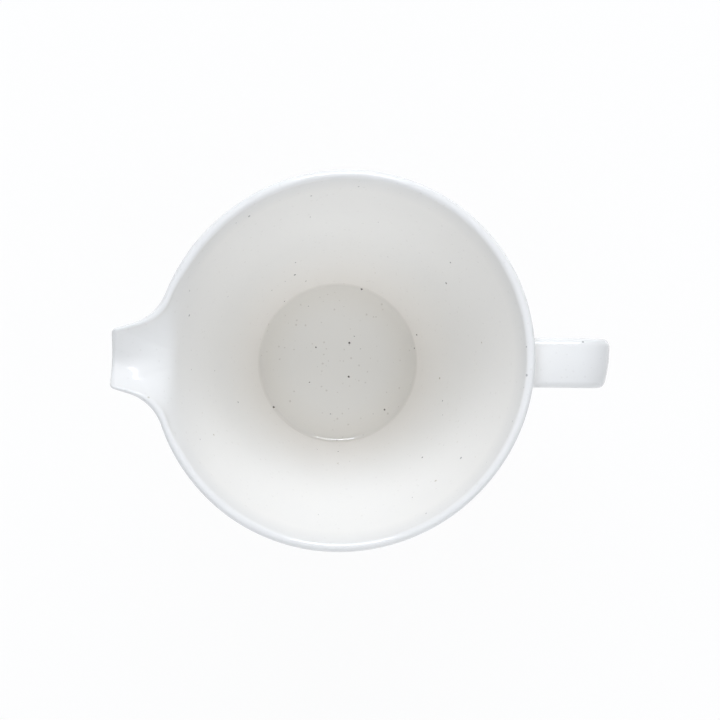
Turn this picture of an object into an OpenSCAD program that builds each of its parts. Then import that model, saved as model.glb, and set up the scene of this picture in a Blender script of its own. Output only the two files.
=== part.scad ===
// Stoneware batter bowl: a conical bowl with a flared pouring spout and a strap handle.
// The origin is on the bowl's axis at the table. +Z is up, the spout points to -X and the handle to +X.

/* [Bowl] */
// Outside diameter of the rim
rim_d = 190; // [170:1:220]
// Height of the rim above the table
bowl_h = 120; // [105:1:140]
// Thickness of the wall, square to its faces
wall_t = 5; // [4:0.1:6]
// Outside diameter of the wall where it meets the base
base_d = 90.5; // [86:0.5:110]
// Thickness of the floor
floor_t = 7; // [5:0.5:10]
// Radius between the floor and the wall, inside
floor_fillet_r = 1.5; // [1:0.5:8]
// Radius of the outside edge under the bowl
base_edge_r = 6; // [3:0.5:8]

/* [Foot ring] */
// Outside diameter of the foot ring
foot_d = 78; // [60:1:82]
// Height of the foot ring
foot_h = 3.5; // [2:0.5:6]
// Width of the foot ring
foot_w = 6; // [4:0.5:10]
// Radius of the foot ring's lower edges
foot_edge_r = 1.2; // [0.5:0.1:1.8]

/* [Spout] */
// How far the tip stands out past the rim
spout_reach = 20; // [17:0.5:30]
// Width across the tip, before its corners are rounded
spout_tip_w = 29; // [22:0.5:32]
// Angle of each side of the spout to its middle line, from above
spout_flare_a = 16.5; // [10:0.5:20]
// Radius in plan of the neck, where the spout's side sweeps out into the rim
spout_neck_r = 25; // [15:0.5:30]
// Radius in plan of the tip's corners
spout_corner_r = 3; // [1.5:0.5:5]
// Angle of the rim that the spout's mouth takes up
spout_mouth_a = 60; // [54:1:76]
// Depth below the rim at which the channel's bed would meet the inside of the wall
throat_depth = 6; // [5:0.5:12]
// Depth below the rim of the channel at the tip
tip_depth = 9; // [4:0.5:10]
// Thickness of the channel's bed
spout_t = 5.5; // [4:0.5:8]
// Thickness of the lip around the tip
spout_lip_t = 4.2; // [3:0.1:5]
// Height of wall over which the channel turns down into the bowl
throat_turn = 12; // [6:0.5:18]
// Length of wall over which the spout's underside blends away
spout_blend = 9; // [4:0.5:14]

/* [Handle] */
// Width of the strap
handle_w = 25; // [18:0.5:32]
// Thickness of the strap
handle_t = 9; // [7:0.5:12]
// Radius of the strap's long edges
handle_edge_r = 3.6; // [1.5:0.1:3.6]
// How far each face of the strap falls from its middle line to its edges
handle_crown = 1.2; // [0:0.1:2]
// How far the handle stands out past the rim
handle_reach = 40.5; // [32:0.5:50]
// Depth of the handle's top face below the rim
handle_drop = 9; // [7:0.5:16]
// Height of the handle, from its top face to its underside
handle_h = 62; // [52:1:72]
// Outside radius of the upper bend
handle_bend_r = 19; // [12:0.5:24]
// Outside radius of the lower bend
handle_heel_r = 17; // [12:0.5:24]
// Leg of the clay coil worked into the corner around each root
coil_leg = 3; // [1.5:0.5:5]

/* [Hidden] */

glaze_colour = [0.92, 0.91, 0.88];
coil_colour = [0.88, 0.87, 0.83];
clay_colour = [0.78, 0.69, 0.57];

// How far a cut runs past what it cuts
overrun = 1;
// Facets of a full turn
$fn = 120;
// Facets of the rounds in a profile
round_steps = 8;
lip_steps = 10;
// Facets along each stretch of the spout's lip, seen from above
front_steps = 6;
corner_steps = 4;
side_steps = 4;
neck_steps = 10;
rim_steps = 3;
// Facets across each stretch of the spout's section
channel_steps = 12;
under_steps = 8;
// Facets of the handle
edge_steps = 4;
flat_steps = 4;
bend_steps = 14;
heel_steps = 9;
coil_steps = 4;

// How sharply the spout's ribs draw in towards its middle, and the share of them that stays even
foot_power = 2.2;
foot_even_share = 0.35;
// How softly the throat and the dip of the tip rise to the rim at their ends
throat_power = 1.5;
dip_power = 1.5;
// How late the spout's section turns into the plain wall
ease_power = 3;
// Share of the way from the lip to the throat at which the bed shapes the channel
bed_share = 0.35;

rim_r = rim_d / 2;
base_r = base_d / 2;
foot_r = foot_d / 2;
lip_r = wall_t / 2;
floor_z = foot_h + floor_t;

// The outside of the wall is a straight line from the base that touches the lip's round
lip_c = [rim_r - lip_r, bowl_h - lip_r];
wall_run = lip_c - [base_r, foot_h];
wall_a = atan2(wall_run.x, wall_run.y) + asin(lip_r / norm(wall_run));

// Radius of the wall's outside and inside at a height
function wall_out(z) = base_r + (z - foot_h) * tan(wall_a);
function wall_in(z) = wall_out(z) - wall_t / cos(wall_a);

function mix(a, b, t) = a + (b - a) * t;
function tail(list) = [for (i = [1:len(list) - 1]) list[i]];
function polar(r, a) = r * [cos(a), sin(a)];
function arc(c, r, from, to, steps) = [for (i = [0:steps]) c + polar(r, mix(from, to, i / steps))];
// Soft curve from the first of some points to the last, pulled by those between
function pulled(points, t) =
    len(points) == 1
        ? points[0]
        : pulled([for (i = [1:len(points) - 1]) mix(points[i - 1], points[i], t)], t);
function curve(points, steps) = [for (i = [0:steps]) pulled(points, i / steps)];
// Length of a path from its start to point i
function travel(path, i) = i == 0 ? 0 : travel(path, i - 1) + norm(path[i] - path[i - 1]);
// Direction from a circle's centre to where a line from the point v away touches it
function touch_a(v, r, side) = atan2(v.y, v.x) + side * acos(r / norm(v));

// Skin of triangles over a grid of rows, closed around each row and, if ring is true, from last row to first
module skin(rows, ring = false) {
    width = len(rows[0]);
    count = len(rows);
    points = [for (row = rows) each row];
    function at(i, j) = (i % count) * width + j % width;
    sides = [
        for (i = [0:count - (ring ? 1 : 2)])
            for (j = [0:width - 1])
                each [
                    [at(i, j), at(i + 1, j + 1), at(i, j + 1)],
                    [at(i, j), at(i + 1, j), at(i + 1, j + 1)]
                ]
    ];
    first = [for (j = [0:width - 1]) at(0, j)];
    last = [for (j = [width - 1:-1:0]) at(count - 1, j)];
    polyhedron(points, ring ? sides : concat(sides, [first, last]));
}

// Bowl

// Centre of a round that touches the level line at z and the wall's line through [r, z]
function round_c(r, z, round_r) = [r - round_r * (1 - sin(wall_a)) / cos(wall_a), z + round_r];

body_outline = concat(
    [[0, foot_h]],
    arc(round_c(base_r, foot_h, base_edge_r), base_edge_r, -90, -wall_a, round_steps),
    arc(lip_c, lip_r, -wall_a, 180 - wall_a, lip_steps),
    arc(round_c(wall_in(floor_z), floor_z, floor_fillet_r), floor_fillet_r, -wall_a, -90, round_steps),
    [[0, floor_z]]
);

module spout_notch() {
    notch_r = wall_in(seam_z) - overrun;
    rotate([0, 0, 180 - mouth_half_a])
        rotate_extrude(angle = spout_mouth_a)
            translate([notch_r, seam_z])
                square([rim_r + overrun - notch_r, bowl_h + overrun - seam_z]);
}

module bowl_body() {
    color(glaze_colour)
        difference() {
            rotate_extrude() polygon(body_outline);
            spout_notch();
        }
}

module foot_ring() {
    foot_in_r = foot_r - foot_w;
    outline = concat(
        [[foot_r, foot_h], [foot_in_r, foot_h]],
        arc([foot_in_r + foot_edge_r, foot_edge_r], foot_edge_r, 180, 270, round_steps),
        arc([foot_r - foot_edge_r, foot_edge_r], foot_edge_r, -90, 0, round_steps)
    );
    color(clay_colour)
        rotate_extrude() polygon(outline);
}

// Spout, worked out along +X and then turned to -X

mouth_half_a = spout_mouth_a / 2;
spout_tip_x = rim_r + spout_reach;
// Height of the level seam under the spout's stretch of wall
seam_z = bowl_h - throat_depth - max(spout_t + spout_blend, throat_turn) - overrun;

// Square to the spout's straight side, and how far that side passes from the axis
side_n = [sin(spout_flare_a), cos(spout_flare_a)];
side_off = [spout_tip_x, spout_tip_w / 2] * side_n;
// Rounds of the tip's corner and of the neck, which touches both the side and the rim
corner_x = spout_tip_x - spout_corner_r;
corner_c = [corner_x, (side_off - spout_corner_r - corner_x * side_n.x) / side_n.y];
neck_off = side_off + spout_neck_r;
neck_c = neck_off * side_n + sqrt(pow(rim_r + spout_neck_r, 2) - pow(neck_off, 2)) * [side_n.y, -side_n.x];
neck_a = atan2(neck_c.y, neck_c.x);

// Half of the spout's lip from above, from the middle of the tip round to the end of the mouth
tip_front = [for (i = [0:front_steps - 1]) [spout_tip_x, corner_c.y * i / front_steps]];
tip_corner = arc(corner_c, spout_corner_r, 0, 90 - spout_flare_a, corner_steps);
neck = arc(neck_c, spout_neck_r, 270 - spout_flare_a, 180 + neck_a, neck_steps);
side_from = tip_corner[corner_steps];
side = [for (i = [1:side_steps - 1]) mix(side_from, neck[0], i / side_steps)];
rim_stretch = arc([0, 0], rim_r, neck_a, mouth_half_a, rim_steps);
half_lip = concat(tip_front, tip_corner, side, neck, tail(rim_stretch));
lip_last = len(half_lip) - 1;
half_length = travel(half_lip, lip_last);

// Fall of the channel's bed for each step along it
bed_slope = (throat_depth - tip_depth) / (spout_tip_x - wall_in(bowl_h - throat_depth));
wall_slope = 1 / tan(wall_a);

function wall_point(r, a, z) = [r * cos(a), r * sin(a), z];
// The open end of the channel dips below the rim between the tip's corners
function lip_dip(y) = tip_depth * pow(max(0, 1 - pow(y / side_from.y, 2)), dip_power);

// Section of the spout from point p of its lip to angle a on the wall, up the inside and down the outside
function rib(p, a) =
    let (
        spread = abs(a) / mouth_half_a,
        ease = pow(spread, ease_power),
        edge_r = mix(spout_lip_t / 2, lip_r, ease),
        edge_c = [edge_r, bowl_h - lip_dip(p.y) - edge_r],
        throat_z = bowl_h - mix(wall_t, throat_depth, pow(1 - spread * spread, throat_power)),
        under_z = throat_z - spout_t,
        blend_z = under_z - spout_blend,
        throat = wall_point(wall_in(throat_z), a, throat_z),
        below_z = throat_z - throat_turn,
        below = wall_point(wall_in(below_z), a, below_z),
        under = wall_point(wall_out(under_z), a, under_z),
        level = [throat.x, throat.y] - p,
        length = norm(level),
        dir = level / length,
        bed_s = mix(2 * edge_r, length, bed_share),
        bed_at = [bed_s, throat_z + (length - bed_s) * mix(bed_slope, wall_slope, ease)],
        under_at = [([under.x, under.y] - p) * dir, under_z],
        edge = arc(
            edge_c, edge_r,
            touch_a(bed_at - edge_c, edge_r, 1), touch_a(under_at - edge_c, edge_r, -1) + 360, lip_steps
        ),
        lip = [for (e = edge) [p.x + dir.x * e.x, p.y + dir.y * e.x, e.y]],
        bed = [p.x + dir.x * bed_at.x, p.y + dir.y * bed_at.x, bed_at.y],
        blend = wall_point(wall_out(blend_z), a, blend_z)
    )
    concat(
        [wall_point(wall_in(seam_z), a, seam_z)],
        curve([below, throat, bed, lip[0]], channel_steps),
        tail(lip),
        tail(curve([lip[lip_steps], under, blend], under_steps)),
        [wall_point(wall_out(seam_z), a, seam_z)]
    );

module spout() {
    ribs = [
        for (i = [-lip_last:lip_last])
            let (
                p = half_lip[abs(i)],
                share = travel(half_lip, abs(i)) / half_length,
                foot_share = mix(pow(share, foot_power), share, foot_even_share)
            )
                rib([p.x, sign(i) * p.y], sign(i) * mouth_half_a * foot_share)
    ];
    color(glaze_colour)
        rotate([0, 0, 180]) skin(ribs);
}

// Handle

upper_z = bowl_h - handle_drop - handle_t / 2;
lower_z = bowl_h - handle_drop - handle_h + handle_t / 2;
bend_r = handle_bend_r - handle_t / 2;
heel_r = handle_heel_r - handle_t / 2;
bend_c = [rim_r + handle_reach - handle_t / 2 - bend_r, upper_z - bend_r];
// Between the bends the strap runs parallel to the wall
heel_fall = lower_z + heel_r - bend_c.y;
heel_c = bend_c + [(bend_r - heel_r + heel_fall * sin(wall_a)) / cos(wall_a), heel_fall];

// Point of the strap's section, drawn in towards the edges by its crown
function crowned(s) = [s.x, s.y * (1 - handle_crown / (handle_t / 2) * pow(s.x / (handle_w / 2), 2))];
// Section of the strap, as width and thickness, grown by a margin all round
function strap(margin = 0) =
    let (
        flat_w = handle_w / 2 - handle_edge_r,
        flat_t = handle_t / 2 - handle_edge_r,
        r = handle_edge_r + margin,
        face = [for (i = [1:flat_steps - 1]) [mix(flat_w, -flat_w, i / flat_steps), flat_t + r]],
        half = concat(
            arc([flat_w, flat_t], r, 0, 90, edge_steps), face, arc([-flat_w, flat_t], r, 90, 180, edge_steps)
        )
    )
    [for (s = concat(half, -half)) crowned(s)];

// The strap's section set at a point of its path, where the path runs at angle a
function strap_at(c, a) = [for (s = strap()) [c.x - s.y * sin(a), s.x, c.y + s.y * cos(a)]];
function strap_bend(c, r, from, to, steps) =
    [for (i = [0:steps]) let (a = mix(from, to, i / steps)) strap_at(c + polar(r, a), a - 90)];

// All that lies inside the outer face of the wall
module wall_envelope() {
    rotate_extrude()
        polygon([[0, foot_h], [base_r, foot_h], [wall_out(lip_c.y), lip_c.y], [0, lip_c.y]]);
}

module handle() {
    path = concat(
        [strap_at([base_r, upper_z], 0)],
        strap_bend(bend_c, bend_r, 90, -wall_a, bend_steps),
        strap_bend(heel_c, heel_r, -wall_a, -90, heel_steps),
        [strap_at([base_r, lower_z], -180)]
    );
    color(glaze_colour)
        difference() {
            skin(path);
            wall_envelope();
        }
}

// Point of the wall's outer face straight in from a point beside it
function seat(y, z) = [sqrt(pow(wall_out(z), 2) - y * y), y, z];

// Coil of clay in the corner between the wall and an arm of the handle at height z
module coil(z) {
    inner = strap();
    outer = strap(coil_leg);
    loops = [
        for (i = [len(inner) - 1:-1:0])
            let (corner = seat(inner[i].x, z + inner[i].y))
                concat([corner], curve(
                    [seat(outer[i].x, z + outer[i].y), corner, corner + [coil_leg, 0, 0]], coil_steps
                ))
    ];
    color(coil_colour)
        skin(loops, ring = true);
}

module upper_coil() {
    coil(upper_z);
}

module lower_coil() {
    coil(lower_z);
}

bowl_body();
foot_ring();
spout();
handle();
upper_coil();
lower_coil();
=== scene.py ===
"""Looks of a speckled stoneware batter bowl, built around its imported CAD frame.

Lengths are in metres. +Z is up, the spout points to -X and the handle to +X.
"""

import math

import bpy
import numpy as np
from mathutils import Matrix, Vector, noise


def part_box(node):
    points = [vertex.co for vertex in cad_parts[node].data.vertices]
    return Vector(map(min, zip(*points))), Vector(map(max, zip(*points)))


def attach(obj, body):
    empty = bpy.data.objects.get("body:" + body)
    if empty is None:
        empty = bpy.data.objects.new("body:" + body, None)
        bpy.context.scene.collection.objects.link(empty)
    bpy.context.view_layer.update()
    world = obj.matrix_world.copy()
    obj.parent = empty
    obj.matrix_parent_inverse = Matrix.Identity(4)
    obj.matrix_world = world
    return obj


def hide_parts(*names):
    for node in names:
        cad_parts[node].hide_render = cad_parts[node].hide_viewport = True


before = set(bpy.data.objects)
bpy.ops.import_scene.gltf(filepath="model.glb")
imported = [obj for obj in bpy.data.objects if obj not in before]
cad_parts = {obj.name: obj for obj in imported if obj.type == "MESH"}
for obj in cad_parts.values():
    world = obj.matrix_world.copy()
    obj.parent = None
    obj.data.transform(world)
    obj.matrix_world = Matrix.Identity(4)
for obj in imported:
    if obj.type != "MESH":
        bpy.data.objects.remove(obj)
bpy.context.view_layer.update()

MM = 0.001

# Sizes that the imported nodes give
_, body_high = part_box("bowl_body")
_, foot_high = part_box("foot_ring")
spout_low, spout_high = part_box("spout")
strap_low, strap_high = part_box("handle")
RIM_R = body_high.x
BOWL_H = body_high.z
FOOT_R = foot_high.x
FOOT_H = foot_high.z
TIP_X = -spout_low.x
SEAM_Z = spout_low.z
MOUTH_HALF_A = math.asin(spout_high.y / RIM_R)
STRAP_W = strap_high.y - strap_low.y

# Bowl and foot ring
WALL_T = 5 * MM
BASE_R = 45.25 * MM
FLOOR_T = 7 * MM
FLOOR_FILLET_R = 2.5 * MM
BASE_EDGE_R = 6 * MM
FOOT_W = 6 * MM
FOOT_EDGE_R = 1.2 * MM

# Spout
TIP_W = 29 * MM
FLARE_A = math.radians(16.5)
NECK_R = 25 * MM
CORNER_R = 3 * MM
THROAT_DEPTH = 6 * MM
TIP_DEPTH = 9 * MM
SPOUT_T = 5.5 * MM
SPOUT_LIP_T = 4.2 * MM
THROAT_TURN = 12 * MM
SPOUT_BLEND = 9 * MM
FOOT_POWER = 2.2
FOOT_EVEN_SHARE = 0.35
THROAT_POWER = 1.5
DIP_POWER = 1.5
EASE_POWER = 3
BED_SHARE = 0.35

# Handle
STRAP_T = 9 * MM
STRAP_EDGE_R = 3.6 * MM
STRAP_CROWN = 1.2 * MM
STRAP_ROLL = math.radians(6)
BEND_R = 19 * MM
HEEL_R = 17 * MM
COIL_LEG = 3 * MM
ROOT_SINK = 0.6 * MM

# Handmade unevenness: the rim is drawn out of round and the faces are not quite true
OVAL_SHARE = 0.012
OVAL_A = math.radians(40)
RIPPLE = 0.1 * MM
RIPPLE_WAVE = 35 * MM

# Radius of the fan of triangles in the middle of the floor and of the base
MIDDLE_R = 2.5 * MM

# Points along half the spout's lip, and sections round the plain wall and the foot ring
LIP_COUNT = 130
PLAIN_COUNT = 300
RING_COUNT = 240

# Steps along each stretch of a section or path
FLOOR_STEPS = 12
WALL_STEPS = 30
ROUND_STEPS = 12
BASE_STEPS = 8
SEAM_IN_STEPS = 8
SEAM_OUT_STEPS = 4
CHANNEL_STEPS = 28
LIP_STEPS = 18
UNDER_STEPS = 18
FOOT_FACE_STEPS = 4
FOOT_EDGE_STEPS = 6
STRAP_FACE_STEPS = 14
STRAP_EDGE_STEPS = 10
ARM_STEPS = 10
BEND_STEPS = 44
HEEL_STEPS = 30
COIL_STEPS = 10

# Least length that a normal is divided by
TINY = 1e-12

LIP_R = WALL_T / 2
FLOOR_Z = FOOT_H + FLOOR_T
lip_centre = np.array([RIM_R - LIP_R, BOWL_H - LIP_R])
wall_run = lip_centre - [BASE_R, FOOT_H]
WALL_A = math.atan2(*wall_run) + math.asin(LIP_R / np.hypot(*wall_run))


def wall_out(z):
    return BASE_R + (z - FOOT_H) * math.tan(WALL_A)


def wall_in(z):
    return wall_out(z) - WALL_T / math.cos(WALL_A)


def wall_middle(z):
    return (wall_in(z) + wall_out(z)) / 2


def mix(a, b, share):
    return a + (b - a) * share


def line(a, b, steps):
    """Points from a to b."""
    share = np.linspace(0, 1, steps + 1)[:, None]
    return mix(np.array(a), np.array(b), share)


def curve(points, steps):
    """Points on a soft curve from the first of some points to the last, pulled by those between."""
    share = np.linspace(0, 1, steps + 1)[:, None]
    rows = [np.array(p)[None] for p in points]
    while len(rows) > 1:
        rows = [mix(a, b, share) for a, b in zip(rows, rows[1:])]
    return rows[0]


def arc(centre, radius, start, end, steps):
    angles = np.linspace(start, end, steps + 1)
    return np.array(centre) + radius * np.stack([np.cos(angles), np.sin(angles)], axis=1)


def joined(*stretches):
    """One path from stretches that each start where the last one ended."""
    return np.vstack([stretches[0], *(s[1:] for s in stretches[1:])])


def touch(v, radius, side):
    """Angle at which a line from v touches a circle of that radius at the origin."""
    return math.atan2(v[1], v[0]) + side * math.acos(radius / np.hypot(*v))


def revolved(profile, angle):
    """Points of an (r, z) profile at an angle about the axis."""
    r, z = np.array(profile).T
    return np.stack([r * math.cos(angle), r * math.sin(angle), z], axis=1)


# Meshes

def corner_normals(points, groups):
    """Smooth normal of each point, from groups of faces with the same number of corners."""
    total = np.zeros_like(points)
    for faces in groups:
        corners = points[faces]
        normal = np.cross(corners[:, 2] - corners[:, 0], corners[:, -1] - corners[:, 1])
        for k in range(faces.shape[1]):
            np.add.at(total, faces[:, k], normal)
    length = np.linalg.norm(total, axis=1, keepdims=True)
    return total / np.maximum(length, TINY)


def flat_normal(points, face):
    """Normal of a flat face with any number of corners."""
    corners = points[face]
    normal = np.cross(corners, np.roll(corners, -1, axis=0)).sum(axis=0)
    return normal / max(np.linalg.norm(normal), TINY)


def grid(rows, columns, ring=False, tube=False):
    """Quads over a grid of points. Ring joins the last row to the first, and tube the last column."""
    i, j = np.meshgrid(np.arange(rows - (not ring)), np.arange(columns - (not tube)), indexing="ij")
    up, along = (i + 1) % rows, (j + 1) % columns
    quads = [i * columns + j, i * columns + along, up * columns + along, up * columns + j]
    return np.stack(quads, axis=-1).reshape(-1, 4)


def warp(points):
    """Points drawn a little out of true, more so higher up."""
    x, y, z = points.T
    height = np.clip((z - FLOOR_Z) / (BOWL_H - FLOOR_Z), 0, 1)
    pull = 1 + OVAL_SHARE * height * np.cos(2 * (np.arctan2(y, x) - OVAL_A))
    return np.stack([x * pull, y * pull, z], axis=1)


def rippled(points, normals):
    """Points pushed in and out by a slow unevenness of the faces."""
    height = [noise.noise(Vector(p) / RIPPLE_WAVE) for p in points]
    return points + normals * (RIPPLE * np.array(height))[:, None]


def add_piece(node, points, skin, hidden, normals, material, slot):
    """A closed piece that stands for a CAD node. Skin faces are smooth, and hidden ones lie in a joint."""
    faces = [f for group in skin for f in group.tolist()]
    loop_normals = [normals[v] for f in faces for v in f]
    for face in hidden:
        loop_normals += [flat_normal(points, face)] * len(face)
    faces += hidden
    used = sorted({v for f in faces for v in f})
    place = {v: i for i, v in enumerate(used)}
    mesh = bpy.data.meshes.new(node + "_glazed" if slot == "glaze" else node + "_bare")
    mesh.from_pydata(points[used].tolist(), [], [[place[v] for v in f] for f in faces])
    mesh.polygons.foreach_set("use_smooth", [True] * len(mesh.polygons))
    mesh.normals_split_custom_set(np.array(loop_normals).tolist())
    mesh.materials.append(material)
    piece = bpy.data.objects.new(mesh.name, mesh)
    bpy.context.scene.collection.objects.link(piece)
    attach(piece, "root")
    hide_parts(node)


# Bowl and spout, worked out along +X and then turned to -X

def round_centre(r, z, radius):
    """Centre of a round that touches the level line at z and the wall's line through (r, z)."""
    return [r - radius * (1 - math.sin(WALL_A)) / math.cos(WALL_A), z + radius]


def half_lip():
    """Even points of half the spout's lip from above, from the middle of the tip to the end of the mouth,
    and how far from the middle the tip's corner ends."""
    side_n = np.array([math.sin(FLARE_A), math.cos(FLARE_A)])
    side_off = side_n @ [TIP_X, TIP_W / 2]
    corner_x = TIP_X - CORNER_R
    corner = [corner_x, (side_off - CORNER_R - corner_x * side_n[0]) / side_n[1]]
    neck_off = side_off + NECK_R
    neck_along = math.sqrt((RIM_R + NECK_R) ** 2 - neck_off ** 2)
    neck = neck_off * side_n + neck_along * np.array([side_n[1], -side_n[0]])
    neck_a = math.atan2(neck[1], neck[0])
    tip_round = arc(corner, CORNER_R, 0, math.pi / 2 - FLARE_A, LIP_COUNT)
    neck_round = arc(neck, NECK_R, 1.5 * math.pi - FLARE_A, math.pi + neck_a, LIP_COUNT)
    path = joined(
        np.array([[TIP_X, 0], tip_round[0]]),
        tip_round,
        np.array([tip_round[-1], neck_round[0]]),
        neck_round,
        arc([0, 0], RIM_R, neck_a, MOUTH_HALF_A, LIP_COUNT),
    )
    travel = np.concatenate([[0], np.cumsum(np.hypot(*np.diff(path, axis=0).T))])
    even = np.linspace(0, travel[-1], LIP_COUNT + 1)
    return np.stack([np.interp(even, travel, path[:, k]) for k in (0, 1)], axis=1), tip_round[-1][1]


def rib(tip, angle, dip):
    """Section of the wall from its seam up the inside and down the outside, between a foot angle and a lip
    point, where the lip lies dip below the rim."""
    spread = min(abs(angle) / MOUTH_HALF_A, 1)
    ease = spread ** EASE_POWER
    edge_r = mix(SPOUT_LIP_T / 2, LIP_R, ease)
    edge = np.array([edge_r, BOWL_H - dip - edge_r])
    throat_z = BOWL_H - mix(WALL_T, THROAT_DEPTH, (1 - spread ** 2) ** THROAT_POWER)
    under_z = throat_z - SPOUT_T
    blend_z = under_z - SPOUT_BLEND
    below_z = throat_z - THROAT_TURN
    seam_in, below, throat = revolved([[wall_in(z), z] for z in (SEAM_Z, below_z, throat_z)], angle)
    under, blend, seam_out = revolved([[wall_out(z), z] for z in (under_z, blend_z, SEAM_Z)], angle)
    level = throat[:2] - tip
    length = np.hypot(*level)
    inward = level / length
    bed_slope = (THROAT_DEPTH - TIP_DEPTH) / (TIP_X - wall_in(BOWL_H - THROAT_DEPTH))
    bed_s = mix(2 * edge_r, length, BED_SHARE)
    bed_at = np.array([bed_s, throat_z + (length - bed_s) * mix(bed_slope, 1 / math.tan(WALL_A), ease)])
    under_at = np.array([(under[:2] - tip) @ inward, under_z])
    start = touch(bed_at - edge, edge_r, 1)
    end = touch(under_at - edge, edge_r, -1) + 2 * math.pi
    flat_lip = arc(edge, edge_r, start, end, LIP_STEPS)
    lip = np.column_stack([tip + inward * flat_lip[:, :1], flat_lip[:, 1]])
    bed = np.array([*(tip + inward * bed_at[0]), bed_at[1]])
    return joined(
        line(seam_in, below, SEAM_IN_STEPS),
        curve([below, throat, bed, lip[0]], CHANNEL_STEPS),
        lip,
        curve([lip[-1], under, blend], UNDER_STEPS),
        line(blend, seam_out, SEAM_OUT_STEPS),
    )


def bowl_ribs():
    """Ribs all round the bowl as a grid of points, the columns of the seam inside and outside,
    and the number of ribs in the spout."""
    path, corner_y = half_lip()
    share = np.linspace(0, 1, LIP_COUNT + 1)
    foot = MOUTH_HALF_A * mix(share ** FOOT_POWER, share, FOOT_EVEN_SHARE)
    dips = TIP_DEPTH * np.maximum(0, 1 - (path[:, 1] / corner_y) ** 2) ** DIP_POWER
    mouth = [(path[i] * [1, -1], -foot[i], dips[i]) for i in range(LIP_COUNT, 0, -1)]
    mouth += [(path[i], foot[i], dips[i]) for i in range(LIP_COUNT + 1)]
    plain_a = np.linspace(MOUTH_HALF_A, 2 * math.pi - MOUTH_HALF_A, PLAIN_COUNT + 1)[1:-1]
    plain = [(RIM_R * np.array([math.cos(a), math.sin(a)]), a, 0) for a in plain_a]

    fillet = round_centre(wall_in(FLOOR_Z), FLOOR_Z, FLOOR_FILLET_R)
    fillet_round = arc(fillet, FLOOR_FILLET_R, -math.pi / 2, -WALL_A, ROUND_STEPS)
    inside = joined(
        line([MIDDLE_R, FLOOR_Z], fillet_round[0], FLOOR_STEPS),
        fillet_round,
        line(fillet_round[-1], [wall_in(SEAM_Z), SEAM_Z], WALL_STEPS),
    )[:-1]
    edge = round_centre(BASE_R, FOOT_H, BASE_EDGE_R)
    edge_round = arc(edge, BASE_EDGE_R, -WALL_A, -math.pi / 2, ROUND_STEPS)
    outside = joined(
        line([wall_out(SEAM_Z), SEAM_Z], edge_round[0], WALL_STEPS),
        edge_round,
        line(edge_round[-1], [MIDDLE_R, FOOT_H], BASE_STEPS),
    )[1:]

    ribs = []
    for tip, angle, dip in mouth + plain:
        ribs.append(np.vstack([revolved(inside, angle), rib(tip, angle, dip), revolved(outside, angle)]))
    points = np.array(ribs) * [-1, -1, 1]
    return points, len(inside), points.shape[1] - len(outside) - 1, len(mouth)


def add_bowl_and_spout(glaze):
    ribs, seam_in, seam_out, mouth = bowl_ribs()
    count, width = ribs.shape[:2]
    points = np.vstack([ribs.reshape(-1, 3), [[0, 0, FLOOR_Z], [0, 0, FOOT_H]]])
    floor_middle, base_middle = len(points) - 2, len(points) - 1
    quads = grid(count, width, ring=True)
    here = np.arange(count)
    after = (here + 1) % count
    fans = np.vstack([
        np.stack([np.full(count, floor_middle), here * width, after * width], axis=1),
        np.stack([np.full(count, base_middle), after * width + width - 1, here * width + width - 1], axis=1),
    ])
    points = warp(points)
    points = rippled(points, corner_normals(points, [quads, fans]))
    normals = corner_normals(points, [quads, fans])

    row, column = quads[:, 0] // width, quads[:, 0] % width
    in_spout = (row < mouth - 1) & (column >= seam_in) & (column < seam_out)
    first = [seam_in + k for k in range(seam_out - seam_in + 1)]
    last = [(mouth - 1) * width + k for k in first]
    seats = [
        [j * width + seam_in, j * width + seam_out, (j + 1) * width + seam_out, (j + 1) * width + seam_in]
        for j in range(mouth - 1)
    ]
    notch = [first, last[::-1], *seats]
    add_piece("bowl_body", points, [quads[~in_spout], fans], notch, normals, glaze, "glaze")
    add_piece("spout", points, [quads[in_spout]], [f[::-1] for f in notch], normals, glaze, "glaze")


# Handle

UPPER_Z = strap_high.z - STRAP_T / 2
LOWER_Z = strap_low.z + STRAP_T / 2
bend_line_r = BEND_R - STRAP_T / 2
heel_line_r = HEEL_R - STRAP_T / 2
bend_centre = np.array([strap_high.x - STRAP_T / 2 - bend_line_r, UPPER_Z - bend_line_r])
heel_fall = LOWER_Z + heel_line_r - bend_centre[1]
heel_run = (bend_line_r - heel_line_r + heel_fall * math.sin(WALL_A)) / math.cos(WALL_A)
heel_centre = bend_centre + [heel_run, heel_fall]


def strap(margin=0):
    """Section of the strap as width and thickness, with a slight crown, grown by a margin."""
    flat_w = STRAP_W / 2 - STRAP_EDGE_R
    flat_t = STRAP_T / 2 - STRAP_EDGE_R
    radius = STRAP_EDGE_R + margin
    half = joined(
        arc([flat_w, flat_t], radius, 0, math.pi / 2, STRAP_EDGE_STEPS),
        line([flat_w, flat_t + radius], [-flat_w, flat_t + radius], STRAP_FACE_STEPS),
        arc([-flat_w, flat_t], radius, math.pi / 2, math.pi, STRAP_EDGE_STEPS),
    )
    half[:, 1] *= 1 - STRAP_CROWN / (STRAP_T / 2) * (half[:, 0] / (STRAP_W / 2)) ** 2
    return np.vstack([half, -half])


def seated(y, z):
    """Points of the wall's outer face at these widths and heights, on the handle's side."""
    return np.stack([np.sqrt(wall_out(z) ** 2 - y ** 2), y, z], axis=1)


def strap_at(centre, angle):
    """The strap's section, rolled a little, set at a point of its path, where the path runs at an angle."""
    cos_roll, sin_roll = math.cos(STRAP_ROLL), math.sin(STRAP_ROLL)
    roll = np.array([[cos_roll, -sin_roll], [sin_roll, cos_roll]])
    across, thick = roll @ strap().T
    x = centre[0] - thick * math.sin(angle)
    z = centre[1] + thick * math.cos(angle)
    return np.stack([x, across, z], axis=1)


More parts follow.
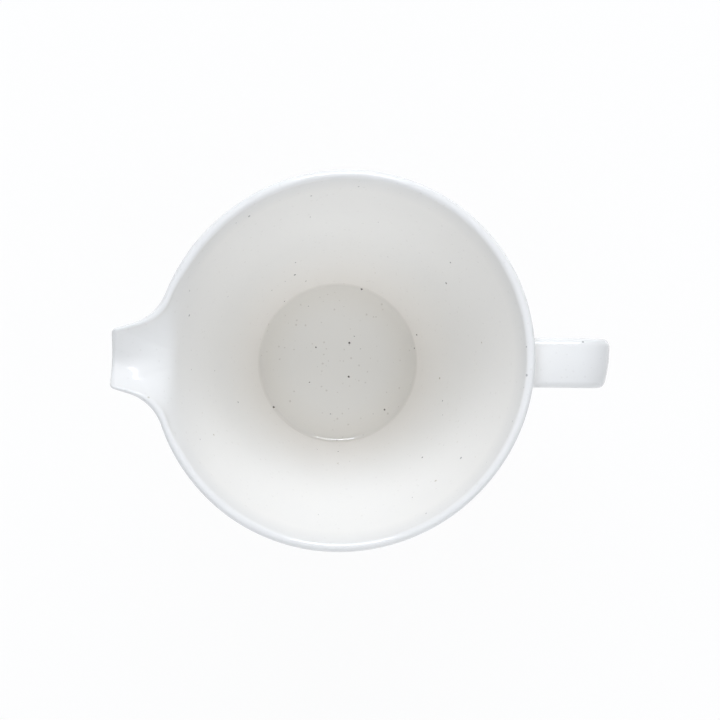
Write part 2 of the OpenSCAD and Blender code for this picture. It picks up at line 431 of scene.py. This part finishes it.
def strap_bend(centre, radius, start, end, steps):
    """Sections of the strap round a bend of its path."""
    angles = np.linspace(start, end, steps + 1)
    centres = arc(centre, radius, start, end, steps)
    return [strap_at(c, a - math.pi / 2) for c, a in zip(centres, angles)]


def between(a, b, steps):
    """Sections evenly between two, without the two themselves."""
    return [mix(a, b, i / steps) for i in range(1, steps)]


def add_handle(glaze):
    bend = strap_bend(bend_centre, bend_line_r, math.pi / 2, -WALL_A, BEND_STEPS)
    heel = strap_bend(heel_centre, heel_line_r, -WALL_A, -math.pi / 2, HEEL_STEPS)
    across, thick = strap().T
    sink = [ROOT_SINK, 0, 0]
    upper = seated(across, UPPER_Z + thick) - sink
    lower = seated(across, LOWER_Z - thick) - sink
    path = [upper, *between(upper, bend[0], ARM_STEPS), *bend]
    path += [*between(bend[-1], heel[0], ARM_STEPS), *heel]
    path += [*between(heel[-1], lower, ARM_STEPS), lower]
    count, width = len(path), len(across)
    points = warp(np.vstack(path))
    quads = grid(count, width, tube=True)
    points = rippled(points, corner_normals(points, [quads]))
    ends = [list(range(width))[::-1], list(range((count - 1) * width, count * width))]
    add_piece("handle", points, [quads], ends, corner_normals(points, [quads]), glaze, "glaze")


def add_coil(node, z, glaze):
    """The clay worked into the corner between the wall and an arm of the handle."""
    inner, outer = strap(), strap(COIL_LEG)
    corner = seated(inner[:, 0], z + inner[:, 1])
    wall_edge = seated(outer[:, 0], z + outer[:, 1])
    arm_edge = corner + [COIL_LEG, 0, 0]
    outward = inner / np.hypot(*inner.T)[:, None]
    inward = ROOT_SINK * np.column_stack([np.ones(len(inner)), outward])
    front = [curve(points, COIL_STEPS) for points in zip(wall_edge, corner, arm_edge)]
    loops = np.array([np.vstack([f, [c - d]]) for f, c, d in zip(front, corner, inward)])
    count, width = loops.shape[:2]
    points = warp(loops.reshape(-1, 3))
    quads = grid(count, width, ring=True, tube=True)[:, ::-1]
    is_back = (quads % width == width - 1).any(axis=1)
    normals = corner_normals(points, [quads[~is_back]])
    back = [list(q) for q in quads[is_back]]
    add_piece(node, points, [quads[~is_back]], back, normals, glaze, "glaze")


def add_foot_ring(clay):
    inner_r = FOOT_R - FOOT_W
    inner_c = inner_r + FOOT_EDGE_R
    outer_c = FOOT_R - FOOT_EDGE_R
    profile = joined(
        line([inner_r, FOOT_H], [inner_r, FOOT_EDGE_R], FOOT_FACE_STEPS),
        arc([inner_c, FOOT_EDGE_R], FOOT_EDGE_R, math.pi, 1.5 * math.pi, FOOT_EDGE_STEPS),
        line([inner_c, 0], [outer_c, 0], FOOT_FACE_STEPS),
        arc([outer_c, FOOT_EDGE_R], FOOT_EDGE_R, -math.pi / 2, 0, FOOT_EDGE_STEPS),
        line([FOOT_R, FOOT_EDGE_R], [FOOT_R, FOOT_H], FOOT_FACE_STEPS),
    )
    angles = np.linspace(0, 2 * math.pi, RING_COUNT, endpoint=False)
    points = np.vstack([revolved(profile, a) for a in angles])
    width = len(profile)
    quads = grid(RING_COUNT, width, ring=True, tube=True)
    is_top = quads[:, 0] % width == width - 1
    normals = corner_normals(points, [quads[~is_top]])
    top = [list(q) for q in quads[is_top]]
    add_piece("foot_ring", points, [quads[~is_top]], top, normals, clay, "bare_clay")


# Materials

# Glaze: its colours, with painted light high and low on the inner wall and painted shade on the floor, and
# the heights and distances from the axis between which they change
GLAZE_WARM = (0.9, 0.872, 0.817)
GLAZE_COOL = (0.9, 0.878, 0.832)
# Painted light high and low on the inner wall, then the floor's colour, partly thick glaze and partly
# painted shade, and painted shade at the floor's edge
PAINTED_LIGHT_HIGH = (0.964, 0.932, 0.869)
PAINTED_LIGHT_LOW = (0.925, 0.886, 0.826)
THICK_GLAZE_AND_PAINTED_SHADE = (0.772, 0.745, 0.688)
PAINTED_SHADE_AT_FLOOR_EDGE = (0.765, 0.73, 0.662)
PAINTED_LIGHT_HIGH_FROM_Z = BOWL_H - 60 * MM
PAINTED_LIGHT_HIGH_TO_Z = BOWL_H - 12 * MM
PAINTED_LIGHT_LOW_TO_Z = FLOOR_Z + 40 * MM
THICK_GLAZE_AND_SHADE_FROM_Z = FLOOR_Z + 0.3 * MM
THICK_GLAZE_AND_SHADE_TO_Z = FLOOR_Z + 2 * MM
PAINTED_SHADE_FROM_R = 25 * MM
PAINTED_SHADE_TO_R = 37.5 * MM

# Glaze: the sizes of its clouds and dimples, its roughness from cloud to cloud and its relief
GLAZE_CLOUD = 45 * MM
CLOUD_RANGE = (0.3, 0.7)
GLAZE_ROUGHNESS = (0.08, 0.14)
DIMPLE = 9 * MM
DIMPLE_DEPTH = 0.15 * MM
DIMPLE_STRENGTH = 0.2
SPECK_PIT = 0.4

# Specks: sizes are radii, shares are of the cells that hold one, and strengths are of their colour
FAINT_SPECK = (0.33, 0.27, 0.2)
BOLD_SPECK = (0.05, 0.035, 0.02)
OCHRE_SPECK = (0.42, 0.36, 0.22)
FAINT_SPACING = 3 * MM
FAINT_SIZES = (0.3 * MM, 0.75 * MM)
FAINT_SHARE = 0.6
FAINT_STRENGTH_ON_WALL = 0.08
FAINT_STRENGTH_ON_FLOOR = 0.28
BOLD_SPACING = 6 * MM
BOLD_SIZES = (0.35 * MM, 0.8 * MM)
BOLD_SHARE_ON_WALL = 0.25
BOLD_SHARE_ON_FLOOR = 0.55
BOLD_STRENGTH_LOW = 0.93
BOLD_STRENGTH_HIGH = 0.42
OCHRE_SHARE = 0.3
WOBBLE = 0.8 * MM
WOBBLE_REACH = 0.6 * MM

# Bare clay
CLAY_LIGHT = (0.56, 0.44, 0.31)
CLAY_DARK = (0.45, 0.34, 0.23)
CLAY_GRIT = (0.22, 0.15, 0.09)
CLAY_CLOUD = 7 * MM
CLAY_ROUGHNESS = (0.75, 0.95)
GRIT_SPACING = 1.1 * MM
GRIT_SIZES = (0.1 * MM, 0.35 * MM)
GRIT_SHARE = 0.5
GRIT_STRENGTH = 0.7
GRAIN = 0.5 * MM
GRAIN_DEPTH = 0.12 * MM
GRAIN_STRENGTH = 0.5


# Sockets of a mix node that carry its share and its colours
MIX_SHARE = 0
MIX_FIRST = 6
MIX_SECOND = 7
MIX_RESULT = 2


def new_material(name):
    material = bpy.data.materials.new(name)
    material.use_nodes = True
    return material, material.node_tree


def linked(tree, kind, **inputs):
    """A new node of a kind, with each input set to a value or linked from a socket.
    An input is called by its name, or by i and its number."""
    node = tree.nodes.new(kind)
    for name, value in inputs.items():
        by_number = name[0] == "i" and name[1:].isdigit()
        socket = node.inputs[int(name[1:]) if by_number else name]
        if isinstance(value, bpy.types.NodeSocket):
            tree.links.new(value, socket)
        else:
            socket.default_value = value
    return node


def maths(tree, operation, *values, clamp=False):
    node = linked(tree, "ShaderNodeMath", **{f"i{k}": v for k, v in enumerate(values)})
    node.operation = operation
    node.use_clamp = clamp
    return node.outputs[0]


def ranged(tree, value, low, high, to_low, to_high):
    node = linked(tree, "ShaderNodeMapRange", Value=value)
    node.inputs["From Min"].default_value = low
    node.inputs["From Max"].default_value = high
    node.inputs["To Min"].default_value = to_low
    node.inputs["To Max"].default_value = to_high
    return node.outputs["Result"]


def blended(tree, share, a, b):
    """A colour between a and b."""
    node = tree.nodes.new("ShaderNodeMix")
    node.data_type = "RGBA"
    for number, value in ((MIX_SHARE, share), (MIX_FIRST, a), (MIX_SECOND, b)):
        socket = node.inputs[number]
        if isinstance(value, bpy.types.NodeSocket):
            tree.links.new(value, socket)
        else:
            socket.default_value = value if socket.type == "VALUE" else (*value, 1)
    return node.outputs[MIX_RESULT]


def speck_mask(tree, place, spacing, share, smallest, largest):
    """Specks scattered about a spacing apart, in that share of the cells: 1 inside a speck and 0 outside,
    with a number from 0 to 1 that each speck draws."""
    cells = linked(tree, "ShaderNodeTexVoronoi", Vector=place, Scale=1 / spacing)
    chance = linked(tree, "ShaderNodeSeparateColor", Color=cells.outputs["Color"])
    size = ranged(tree, chance.outputs["Green"], 0, 1, smallest / spacing, largest / spacing)
    inside = maths(tree, "SUBTRACT", size, cells.outputs["Distance"])
    # A speck's edge fades over half its mean radius
    soft = maths(tree, "MULTIPLY", inside, 4 * spacing / (smallest + largest), clamp=True)
    present = maths(tree, "LESS_THAN", chance.outputs["Red"], share)
    return maths(tree, "MULTIPLY", soft, present), chance.outputs["Blue"]


def distance_from_axis(tree, place):
    flat = linked(tree, "ShaderNodeVectorMath", i0=place, i1=(1, 1, 0))
    flat.operation = "MULTIPLY"
    away = linked(tree, "ShaderNodeVectorMath", i0=flat.outputs[0])
    away.operation = "LENGTH"
    return away.outputs["Value"]


def glaze_base(tree, place, cloud):
    """Colour of the glaze without specks, and how thick it lies on the floor, from 0 to 1, which also places
    the painted shade there.
    It has painted light that makes it paler high inside, apart from the spout, and lighter and warmer low
    down. It is greyer on the floor, partly from thick glaze and partly as painted shade, and painted shade
    makes it browner towards the floor's edge."""
    axes = linked(tree, "ShaderNodeSeparateXYZ", Vector=place).outputs
    height = axes["Z"]
    away = distance_from_axis(tree, place)
    middle = ranged(tree, height, FLOOR_Z, BOWL_H, wall_middle(FLOOR_Z), wall_middle(BOWL_H))
    over = maths(tree, "GREATER_THAN", height, FLOOR_Z - FLOOR_T / 2)
    inside = maths(tree, "MULTIPLY", maths(tree, "LESS_THAN", away, middle), over)

    # Painted light: paler high on the inner wall, and not on the spout
    high = ranged(tree, height, PAINTED_LIGHT_HIGH_FROM_Z, PAINTED_LIGHT_HIGH_TO_Z, 0, 1)
    high = maths(tree, "MULTIPLY", high, ranged(tree, height, PAINTED_LIGHT_HIGH_TO_Z, BOWL_H - LIP_R, 1, 0))
    clear = ranged(tree, axes["X"], -wall_in(PAINTED_LIGHT_HIGH_TO_Z), -wall_in(PAINTED_LIGHT_HIGH_FROM_Z), 0, 1)
    high = maths(tree, "MULTIPLY", high, maths(tree, "MULTIPLY", inside, clear))
    # Painted light: lighter and warmer low on the wall, lifting its shade
    low = ranged(tree, height, FLOOR_Z, PAINTED_LIGHT_LOW_TO_Z, 1, 0)
    # Greyer on the floor: partly thicker glaze, partly painted shade
    thick = maths(tree, "MULTIPLY", ranged(tree, height, THICK_GLAZE_AND_SHADE_FROM_Z, THICK_GLAZE_AND_SHADE_TO_Z, 1, 0), inside)
    # Painted shade: darker and browner towards the floor's edge, where it meets the wall
    edge = ranged(tree, away, PAINTED_SHADE_FROM_R, PAINTED_SHADE_TO_R, 0, 1)

    base = blended(tree, cloud, GLAZE_WARM, GLAZE_COOL)
    base = blended(tree, high, base, PAINTED_LIGHT_HIGH)
    base = blended(tree, low, base, PAINTED_LIGHT_LOW)
    base = blended(tree, thick, base, blended(tree, edge, THICK_GLAZE_AND_PAINTED_SHADE, PAINTED_SHADE_AT_FLOOR_EDGE))
    return base, thick


def speckled(tree, place, base, thick):
    """A glaze's colour with its specks, and 1 inside a bold one. They crowd and darken on the floor."""
    height = linked(tree, "ShaderNodeSeparateXYZ", Vector=place).outputs["Z"]
    wobble = linked(tree, "ShaderNodeTexNoise", Vector=place, Scale=1 / WOBBLE, Detail=1)
    shift = linked(tree, "ShaderNodeVectorMath", i0=wobble.outputs["Color"], i1=[WOBBLE_REACH] * 3)
    shift.operation = "MULTIPLY"
    bent = linked(tree, "ShaderNodeVectorMath", i0=place, i1=shift.outputs[0]).outputs[0]

    more_haze = FAINT_STRENGTH_ON_FLOOR - FAINT_STRENGTH_ON_WALL
    haze = maths(tree, "MULTIPLY_ADD", thick, more_haze, FAINT_STRENGTH_ON_WALL)
    faint, _ = speck_mask(tree, bent, FAINT_SPACING, FAINT_SHARE, *FAINT_SIZES)
    base = blended(tree, maths(tree, "MULTIPLY", faint, haze), base, FAINT_SPECK)

    more_bold = BOLD_SHARE_ON_FLOOR - BOLD_SHARE_ON_WALL
    crowd = maths(tree, "MULTIPLY_ADD", thick, more_bold, BOLD_SHARE_ON_WALL)
    bold, chance = speck_mask(tree, bent, BOLD_SPACING, crowd, *BOLD_SIZES)
    is_ochre = maths(tree, "LESS_THAN", chance, OCHRE_SHARE)
    iron = blended(tree, is_ochre, BOLD_SPECK, OCHRE_SPECK)
    depth = ranged(tree, height, FLOOR_Z, BOWL_H, BOLD_STRENGTH_LOW, BOLD_STRENGTH_HIGH)
    return blended(tree, maths(tree, "MULTIPLY", bold, depth), base, iron), bold


def glaze_material():
    """Glossy pale glaze over speckled stoneware."""
    material, tree = new_material("speckled_glaze")
    shader = tree.nodes["Principled BSDF"]
    place = tree.nodes.new("ShaderNodeTexCoord").outputs["Object"]
    cloud = linked(tree, "ShaderNodeTexNoise", Vector=place, Scale=1 / GLAZE_CLOUD, Detail=3).outputs["Fac"]
    base, thick = glaze_base(tree, place, cloud)
    base, bold = speckled(tree, place, base, thick)
    tree.links.new(base, shader.inputs["Base Color"])
    tree.links.new(ranged(tree, cloud, *CLOUD_RANGE, *GLAZE_ROUGHNESS), shader.inputs["Roughness"])
    dimples = linked(tree, "ShaderNodeTexNoise", Vector=place, Scale=1 / DIMPLE, Detail=2)
    relief = maths(tree, "SUBTRACT", dimples.outputs["Fac"], maths(tree, "MULTIPLY", bold, SPECK_PIT))
    bump = linked(tree, "ShaderNodeBump", Strength=DIMPLE_STRENGTH, Distance=DIMPLE_DEPTH, Height=relief)
    tree.links.new(bump.outputs["Normal"], shader.inputs["Normal"])
    return material


def clay_material():
    """Bare fired clay: buff, matt and gritty."""
    material, tree = new_material("bare_clay")
    shader = tree.nodes["Principled BSDF"]
    place = tree.nodes.new("ShaderNodeTexCoord").outputs["Object"]
    cloud = linked(tree, "ShaderNodeTexNoise", Vector=place, Scale=1 / CLAY_CLOUD, Detail=5).outputs["Fac"]
    base = blended(tree, ranged(tree, cloud, *CLOUD_RANGE, 0, 1), CLAY_DARK, CLAY_LIGHT)
    grit, _ = speck_mask(tree, place, GRIT_SPACING, GRIT_SHARE, *GRIT_SIZES)
    base = blended(tree, maths(tree, "MULTIPLY", grit, GRIT_STRENGTH), base, CLAY_GRIT)
    tree.links.new(base, shader.inputs["Base Color"])
    tree.links.new(ranged(tree, cloud, *CLOUD_RANGE, *CLAY_ROUGHNESS), shader.inputs["Roughness"])
    grain = linked(tree, "ShaderNodeTexNoise", Vector=place, Scale=1 / GRAIN, Detail=3)
    relief = maths(tree, "ADD", grain.outputs["Fac"], grit)
    bump = linked(tree, "ShaderNodeBump", Strength=GRAIN_STRENGTH, Distance=GRAIN_DEPTH, Height=relief)
    tree.links.new(bump.outputs["Normal"], shader.inputs["Normal"])
    return material


# Studio

WHITE = (1, 1, 1, 1)
FLOOR_SPAN = 12
FLOOR_COLOUR = (0.9, 0.9, 0.9, 1)
FLOOR_ROUGHNESS = 0.9
FLOOR_WHITE_SHARE = 0.93
LIGHT_COLOUR = (0.93, 0.985, 1.085)
SKY_LEVEL = 0.235
LAMP_DISTANCE = 1.8
CAMERA_AT = Vector((-33.3, -11.0, 1120)) * MM
CAMERA_AIM = Vector((7.76, 0.35, 120)) * MM
CAMERA_ROLL = math.radians(0.55)
CAMERA_FIELD = 356 * MM
CAMERA_CLIP = 50 * MM
SENSOR = 36


def seen_ray(tree):
    """1 on rays that show the background to the camera, straight or by a mirror or glass."""
    path = tree.nodes.new("ShaderNodeLightPath")
    seen = maths(tree, "ADD", path.outputs["Is Camera Ray"], path.outputs["Is Glossy Ray"], clamp=True)
    return maths(tree, "ADD", seen, path.outputs["Is Transmission Ray"], clamp=True)


def add_floor():
    half = FLOOR_SPAN / 2
    mesh = bpy.data.meshes.new("floor")
    corners = [(-half, -half, 0), (half, -half, 0), (half, half, 0), (-half, half, 0)]
    mesh.from_pydata(corners, [], [(0, 1, 2, 3)])
    material, tree = new_material("pale_floor")
    shader = tree.nodes["Principled BSDF"]
    shader.inputs["Base Color"].default_value = FLOOR_COLOUR
    shader.inputs["Roughness"].default_value = FLOOR_ROUGHNESS
    shader.inputs["Specular IOR Level"].default_value = 0
    white = linked(tree, "ShaderNodeEmission", Color=WHITE, Strength=1)
    share = maths(tree, "MULTIPLY", seen_ray(tree), FLOOR_WHITE_SHARE)
    surface = linked(tree, "ShaderNodeMixShader", i0=share, i1=shader.outputs[0], i2=white.outputs[0])
    tree.links.new(surface.outputs[0], tree.nodes["Material Output"].inputs["Surface"])
    mesh.materials.append(material)
    floor = bpy.data.objects.new("floor", mesh)
    bpy.context.scene.collection.objects.link(floor)


def add_world():
    """Even soft light from all round, with a white background."""
    world = bpy.data.worlds.new("studio")
    bpy.context.scene.world = world
    world.use_nodes = True
    tree = world.node_tree
    light = linked(tree, "ShaderNodeBackground", Color=(*LIGHT_COLOUR, 1), Strength=SKY_LEVEL)
    white = linked(tree, "ShaderNodeBackground", Color=WHITE, Strength=1)
    seen = seen_ray(tree)
    surface = linked(tree, "ShaderNodeMixShader", i0=seen, i1=light.outputs[0], i2=white.outputs[0])
    tree.links.new(surface.outputs[0], tree.nodes["World Output"].inputs["Surface"])


def add_soft_box(name, turn, rise, width, height, power, shines=False):
    """Soft box that faces the bowl from an angle about the axis and an angle above the table, in degrees.
    One that shines only leaves a highlight on the glaze, and the others only light it."""
    turn, rise = math.radians(turn), math.radians(rise)
    out = Vector((math.cos(rise) * math.cos(turn), math.cos(rise) * math.sin(turn), math.sin(rise)))
    lamp = bpy.data.lights.new(name, "AREA")
    lamp.shape = "RECTANGLE"
    lamp.size = width
    lamp.size_y = height
    lamp.energy = power
    lamp.color = LIGHT_COLOUR
    box = bpy.data.objects.new(name, lamp)
    box.location = out * LAMP_DISTANCE
    aim = Vector((0, 0, BOWL_H / 2)) - box.location
    box.rotation_euler = aim.to_track_quat("-Z", "Y").to_euler()
    box.visible_glossy = shines
    box.visible_diffuse = not shines
    bpy.context.scene.collection.objects.link(box)


def add_camera():
    """Camera almost straight above the bowl, turned so that +Y is up in the picture."""
    data = bpy.data.cameras.new("camera")
    back = CAMERA_AT - CAMERA_AIM
    data.sensor_width = SENSOR
    data.lens = SENSOR * back.length / CAMERA_FIELD
    data.clip_start = CAMERA_CLIP
    z_axis = back.normalized()
    x_axis = Vector((-math.sin(CAMERA_ROLL), math.cos(CAMERA_ROLL), 0)).cross(z_axis).normalized()
    y_axis = z_axis.cross(x_axis)
    camera = bpy.data.objects.new("camera", data)
    turn = Matrix((x_axis, y_axis, z_axis)).transposed()
    camera.matrix_world = Matrix.Translation(CAMERA_AT) @ turn.to_4x4()
    bpy.context.scene.collection.objects.link(camera)
    bpy.context.scene.camera = camera


glaze = glaze_material()
add_bowl_and_spout(glaze)
add_handle(glaze)
add_coil("upper_coil", UPPER_Z, glaze)
add_coil("lower_coil", LOWER_Z, glaze)
add_foot_ring(clay_material())
add_floor()
add_world()
add_soft_box("back", turn=90, rise=38, width=1.8, height=0.9, power=17.5)
add_soft_box("low", turn=90, rise=26, width=1.4, height=0.6, power=4.5)
add_soft_box("front", turn=-90, rise=34, width=1.8, height=0.9, power=7)
add_soft_box("fill", turn=-90, rise=60, width=1.6, height=0.9, power=3.8)
add_soft_box("left", turn=190, rise=62, width=0.9, height=0.9, power=3.5)
add_soft_box("right", turn=-10, rise=62, width=0.9, height=0.9, power=4.7)
add_soft_box("shine", turn=88, rise=48.5, width=0.65, height=0.12, power=16, shines=True)
add_camera()

bpy.context.scene.view_settings.view_transform = "Standard"
